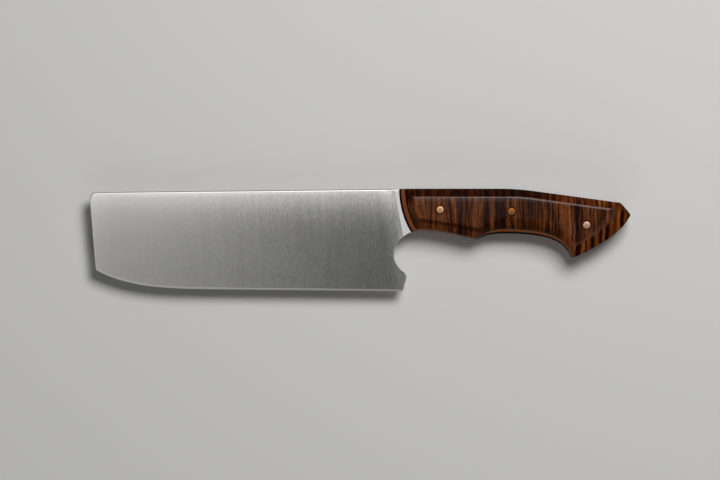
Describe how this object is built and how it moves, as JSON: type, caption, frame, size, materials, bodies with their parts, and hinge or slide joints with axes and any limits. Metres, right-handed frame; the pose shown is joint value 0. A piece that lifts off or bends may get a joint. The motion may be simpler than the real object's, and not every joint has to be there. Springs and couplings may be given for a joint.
{
  "type": "nakiri knife",
  "caption": "Full-tang nakiri vegetable knife with a tall flat-ground blade, a finger choil and a faceted wooden handle on brown and black liners, held by copper pins.",
  "frame": {"origin": "on the flat face of the right scale, under the middle of the knife's bounding box", "axes": "+X from the tip to the butt, +Y from the edge to the spine, +Z out of the left side, up as the knife lies on its right side"},
  "size_m": [0.2974, 0.0564, 0.0194],
  "materials": {
    "satin_steel": "satin, brushed square to the edge, with polished spine and choil",
    "black_fibre": "sanded smooth",
    "brown_fibre": "sanded smooth",
    "figured_wood": "oiled and polished, dark cross stripes",
    "copper": "ground flush and polished"
  },
  "bodies": {
    "root": {"blade": "satin_steel", "left_black_liner": "black_fibre", "right_black_liner": "black_fibre", "left_brown_liner": "brown_fibre", "right_brown_liner": "brown_fibre", "left_scale": "figured_wood", "right_scale": "figured_wood", "front_pin": "copper", "middle_pin": "copper", "rear_pin": "copper"}
  },
  "joints": []
}
